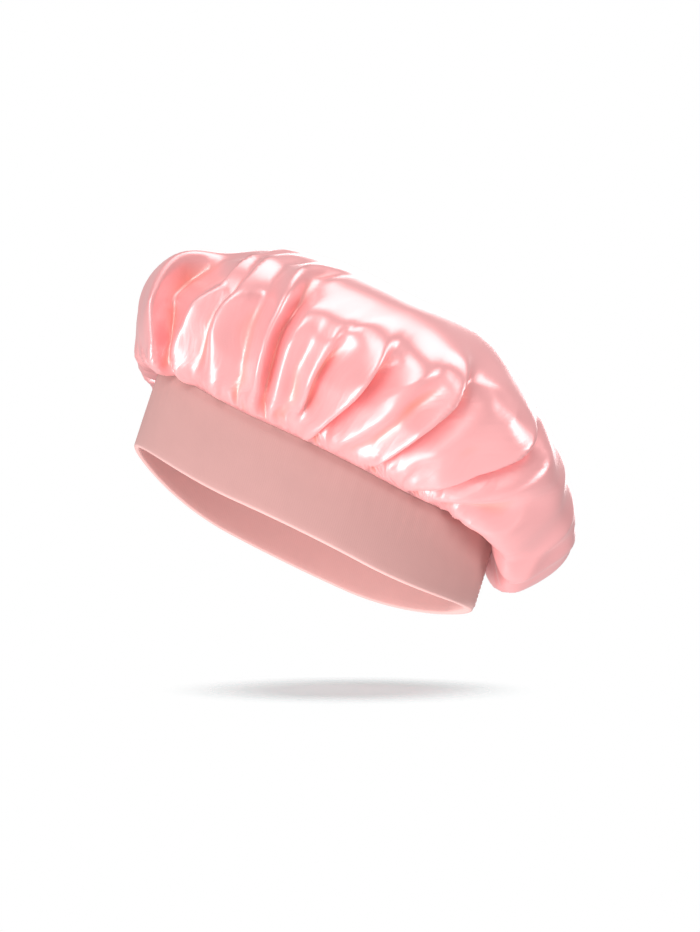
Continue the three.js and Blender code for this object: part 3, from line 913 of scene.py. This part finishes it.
class BONNET_OT_threads(bpy.types.Operator):
    """Sews the overlock, the seam and the band's own join"""

    bl_idname = "bonnet.threads"
    bl_label = "Stitches"

    def execute(self, context):
        band = context.scene.bonnet_band
        thread = context.scene.bonnet_thread
        material = thread_material("pink_thread", thread.colour)
        seam = [seam_place(band, a) for a in seam_angles(band, round(SEAM_GIRTH / thread.pitch))]
        self.finish("overlock_thread", self.overlock(band, thread), seam, material)
        inside = Matrix.Translation((0, SEAM_STITCH_OUT, band.height + SEWN_ABOVE))
        places = [place @ inside for place in seam]
        self.finish("seam_thread", self.stitch(thread), places, material)
        self.finish("band_join_thread", self.stitch(thread), self.joins(band, thread), material)
        return {"FINISHED"}

    def joins(self, band, thread):
        """Places of the stitches up the band's own join, on both faces of the band."""
        nape = seam_place(band, 0.0)
        upright = Matrix.Rotation(math.pi / 2, 4, "Y")
        places = []
        for up in np.arange(JOIN_ABOVE_RIM, band.height - JOIN_BELOW_SEAM, thread.pitch):
            wave = JOIN_WAVE * math.sin(math.pi * up / band.height)
            for side in (1, -1):
                on_face = Matrix.Translation((0, side * (band.wall + NAPE_SWELL) + wave, up))
                facing = Matrix.Scale(-side, 4, (0, 1, 0))
                places.append(nape @ on_face @ upright @ facing)
        return places

    def overlock(self, band, thread):
        """One loop over the raw edges."""
        top = band.height + band.allowance
        path = [(along * thread.pitch, out, top + up) for along, out, up in OVERLOCK_LOOP]
        return thread_stitch(path, thread.radius)

    def stitch(self, thread):
        """One stitch that dips into the cloth at both ends."""
        path = [(along * thread.pitch, out, 0) for along, out in LOCK_STITCH]
        return thread_stitch(path, thread.radius)

    def finish(self, name, stitch, places, material):
        piece = sewn(name.replace("thread", "stitches"), stitch, places)
        piece.data.materials.append(material)
        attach(piece, "root")
        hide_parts(name)


class BONNET_OT_inside(bpy.types.Operator):
    """Finishes the elastic and the zigzag that joins it, inside the band"""

    bl_idname = "bonnet.inside"
    bl_label = "Elastic"

    def execute(self, context):
        for name, material in (("band_elastic", elastic_material(WHITE)),
                               ("elastic_join_thread", thread_material("white_thread", WHITE))):
            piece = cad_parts[name]
            piece.data.materials.clear()
            piece.data.materials.append(material)
        return {"FINISHED"}


class BONNET_OT_stage(bpy.types.Operator):
    """Sets up the camera, the lamps, the white room and the floor"""

    bl_idname = "bonnet.stage"
    bl_label = "Stage"

    def execute(self, context):
        stage = context.scene.bonnet_stage
        forward = Vector((0, math.cos(stage.rise), math.sin(stage.rise)))
        upright = Vector((0, -math.sin(stage.rise), math.cos(stage.rise)))
        side = Vector((1, 0, 0))
        right = math.cos(stage.roll) * side + math.sin(stage.roll) * upright
        up = -math.sin(stage.roll) * side + math.cos(stage.roll) * upright

        start_clean()
        bpy.ops.object.camera_add()
        camera = context.object
        camera.matrix_world = placed(AIM - forward * stage.distance, right, up, -forward)
        camera.data.lens = stage.lens
        camera.data.sensor_width = SENSOR_WIDTH
        context.scene.camera = camera

        for name, (across, above, toward, *rest) in LAMPS.items():
            self.lamp(context, name, AIM + right * across + up * above - forward * toward, *rest)
        self.room(context)
        self.floor(context, stage, placed(AIM - up * stage.floor_drop, right, forward, up))
        context.scene.view_settings.view_transform = "Standard"
        return {"FINISHED"}

    def lamp(self, context, name, place, width, depth, power, glossy):
        """An area lamp that faces the bonnet."""
        start_clean()
        bpy.ops.object.light_add(type="AREA")
        made = context.object
        made.name = name
        turn = (place - AIM).to_track_quat("Z", "Y").to_matrix().to_4x4()
        made.matrix_world = Matrix.Translation(place) @ turn
        made.data.shape = "RECTANGLE"
        made.data.size = width
        made.data.size_y = depth
        made.data.energy = power
        made.visible_glossy = glossy

    def room(self, context):
        """A white background that gives less light than the camera sees."""
        world = bpy.data.worlds.new("white_room")
        context.scene.world = world
        world.use_nodes = True
        tree = world.node_tree
        path = node(tree, "ShaderNodeLightPath")
        strength = node(tree, "ShaderNodeMapRange", {
            "Value": path.outputs["Is Camera Ray"], "To Min": ROOM_LIGHT, "To Max": ROOM_SEEN})
        feed(tree, tree.nodes["Background"], {
            "Strength": strength.outputs["Result"], "Color": (1, 1, 1, 1)})

    def floor(self, context, stage, level):
        """A round floor that fades out, and that can't be seen from below."""
        start_clean()
        bpy.ops.mesh.primitive_circle_add(
            vertices=96, radius=stage.floor_radius, fill_type="TRIFAN")
        floor = context.object
        floor.name = "floor"
        floor.matrix_world = level
        material, tree, shader = nodes_of("floor")
        tree.nodes.remove(shader)
        place = node(tree, "ShaderNodeTexCoord")
        radius = node(tree, "ShaderNodeVectorMath", {
            0: place.outputs["Object"]}, operation="LENGTH")
        full, none = (stage.floor_radius * share for share in FLOOR_FADE)
        gone = node(tree, "ShaderNodeMapRange", {
            "Value": radius.outputs["Value"], "From Min": full, "From Max": none,
            "To Min": FLOOR_CLEAR,
        }, interpolation_type="SMOOTHSTEP")
        face = node(tree, "ShaderNodeNewGeometry")
        unseen = node(tree, "ShaderNodeMath", {
            0: gone.outputs[0], 1: face.outputs["Backfacing"]}, operation="MAXIMUM")
        matte = node(tree, "ShaderNodeBsdfDiffuse", {"Color": FLOOR_COLOUR})
        clear = node(tree, "ShaderNodeBsdfTransparent")
        faded = node(tree, "ShaderNodeMixShader", {
            0: unseen.outputs[0], 1: matte.outputs[0], 2: clear.outputs[0]})
        feed(tree, tree.nodes["Material Output"], {"Surface": faded.outputs[0]})
        floor.data.materials.append(material)
        floor.visible_shadow = False


class BONNET_PT_panel(bpy.types.Panel):
    """The bonnet's pieces and settings"""

    bl_label = "Satin Hair Bonnet"
    bl_idname = "BONNET_PT_panel"
    bl_space_type = "VIEW_3D"
    bl_region_type = "UI"
    bl_category = "Bonnet"

    def draw(self, context):
        for name, settings in SETTINGS.items():
            box = self.layout.box()
            box.label(text=settings.__doc__)
            for key in settings.__annotations__:
                box.prop(getattr(context.scene, name), key)
        for operator in OPERATORS:
            self.layout.operator(operator.bl_idname)


OPERATORS = (BONNET_OT_band, BONNET_OT_crown, BONNET_OT_threads, BONNET_OT_inside, BONNET_OT_stage)


def register():
    for name, settings in SETTINGS.items():
        bpy.utils.register_class(settings)
        setattr(bpy.types.Scene, name, PointerProperty(type=settings))
    for made in (*OPERATORS, BONNET_PT_panel):
        bpy.utils.register_class(made)


def unregister():
    for made in (BONNET_PT_panel, *reversed(OPERATORS)):
        bpy.utils.unregister_class(made)
    for name, settings in SETTINGS.items():
        delattr(bpy.types.Scene, name)
        bpy.utils.unregister_class(settings)


def main():
    register()
    bpy.ops.bonnet.band()
    bpy.ops.bonnet.crown()
    bpy.ops.bonnet.threads()
    bpy.ops.bonnet.inside()
    bpy.ops.bonnet.stage()


if __name__ == "__main__":
    main()
